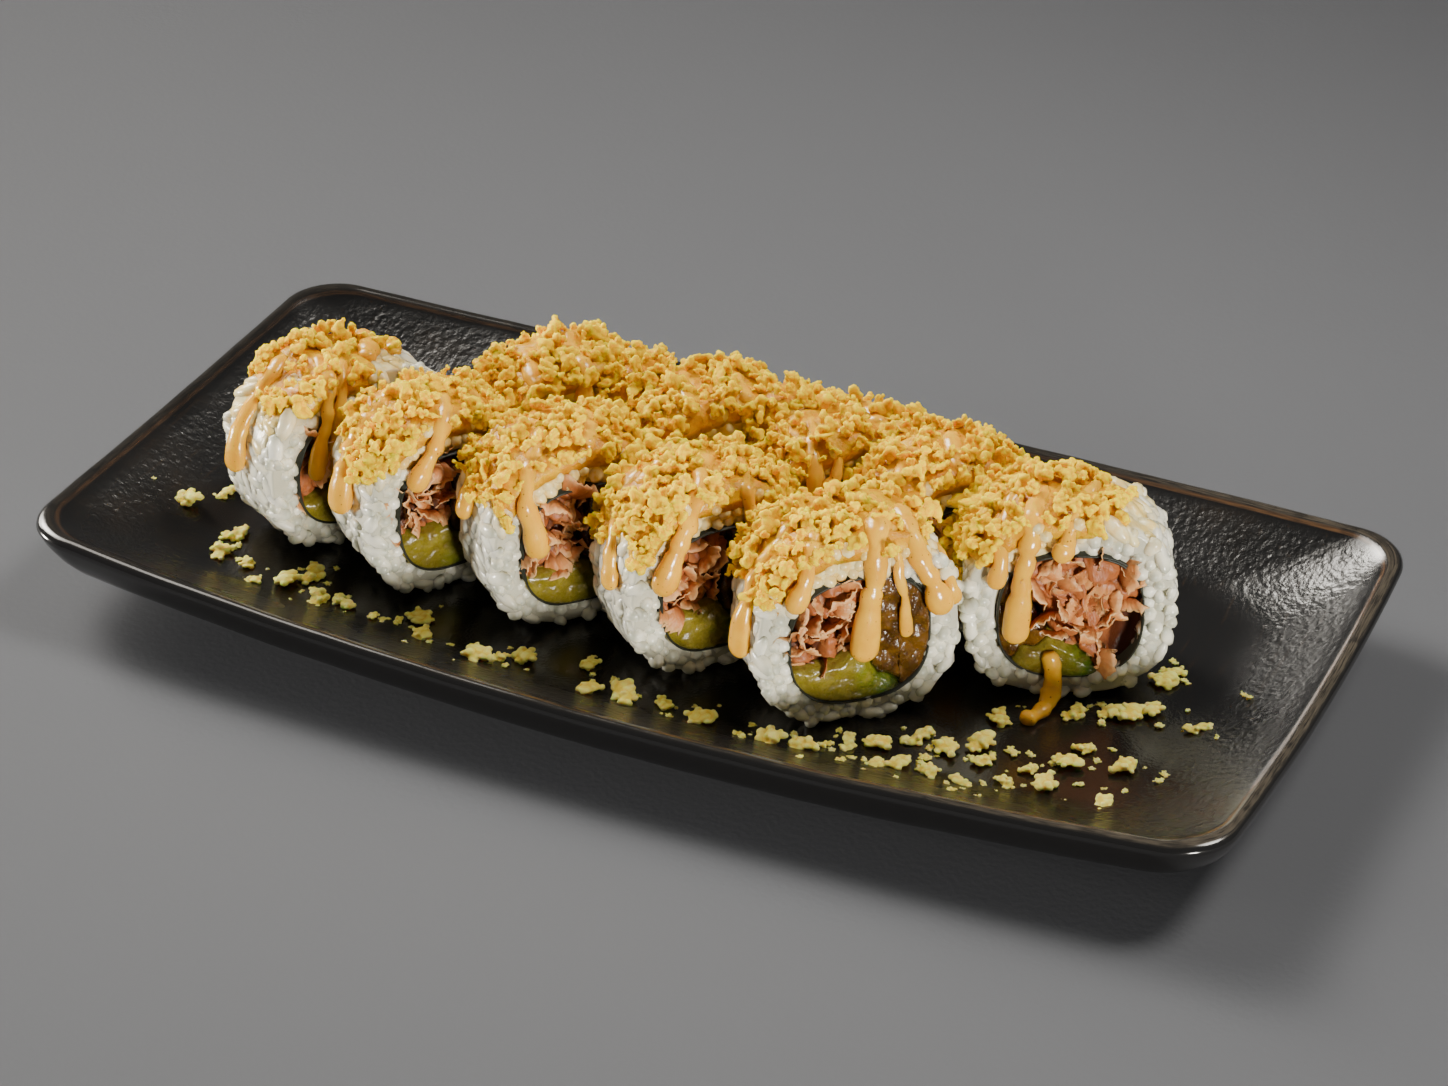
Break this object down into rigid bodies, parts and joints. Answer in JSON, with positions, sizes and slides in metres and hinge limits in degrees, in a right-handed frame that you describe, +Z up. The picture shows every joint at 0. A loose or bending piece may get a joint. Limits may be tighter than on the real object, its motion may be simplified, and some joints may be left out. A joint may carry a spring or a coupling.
{
  "type": "sushi rolls on a plate",
  "caption": "Inside-out sushi rolls with crunchy crumb topping and drizzle, standing in two rows on a long dished plate.",
  "frame": {"origin": "on the table under the middle of the plate", "axes": "+X along the plate's length, +Z up"},
  "size_m": [0.2922, 0.146, 0.0573],
  "materials": {
    "plate_glaze": "near-black satin glaze with a fine hammered grain and a worn bronze rim",
    "rice": "moist cooked white rice under pale yellow crunchy crumbs and orange drizzle",
    "seaweed": "moist black-green dried seaweed sheet",
    "fish": "flaky cooked pink fish",
    "avocado": "smooth soft avocado, yellow-green to bright green",
    "gourd": "glossy amber-brown simmered gourd"
  },
  "bodies": {
    "root": {"plate": "plate_glaze", "front_1_rice": "rice", "front_1_seaweed": "seaweed", "front_1_fish": "fish", "front_1_avocado": "avocado", "front_1_gourd": "gourd", "front_2_rice": "rice", "front_2_seaweed": "seaweed", "front_2_fish": "fish", "front_2_avocado": "avocado", "front_2_gourd": "gourd", "front_3_rice": "rice", "front_3_seaweed": "seaweed", "front_3_fish": "fish", "front_3_avocado": "avocado", "front_3_gourd": "gourd", "front_4_rice": "rice", "front_4_seaweed": "seaweed", "front_4_fish": "fish", "front_4_avocado": "avocado", "front_4_gourd": "gourd", "front_5_rice": "rice", "front_5_seaweed": "seaweed", "front_5_fish": "fish", "front_5_avocado": "avocado", "front_5_gourd": "gourd", "back_1_rice": "rice", "back_1_seaweed": "seaweed", "back_1_fish": "fish", "back_1_avocado": "avocado", "back_1_gourd": "gourd", "back_2_rice": "rice", "back_2_seaweed": "seaweed", "back_2_fish": "fish", "back_2_avocado": "avocado", "back_2_gourd": "gourd", "back_3_rice": "rice", "back_3_seaweed": "seaweed", "back_3_fish": "fish", "back_3_avocado": "avocado", "back_3_gourd": "gourd", "back_4_rice": "rice", "back_4_seaweed": "seaweed", "back_4_fish": "fish", "back_4_avocado": "avocado", "back_4_gourd": "gourd", "back_5_rice": "rice", "back_5_seaweed": "seaweed", "back_5_fish": "fish", "back_5_avocado": "avocado", "back_5_gourd": "gourd"}
  },
  "joints": []
}
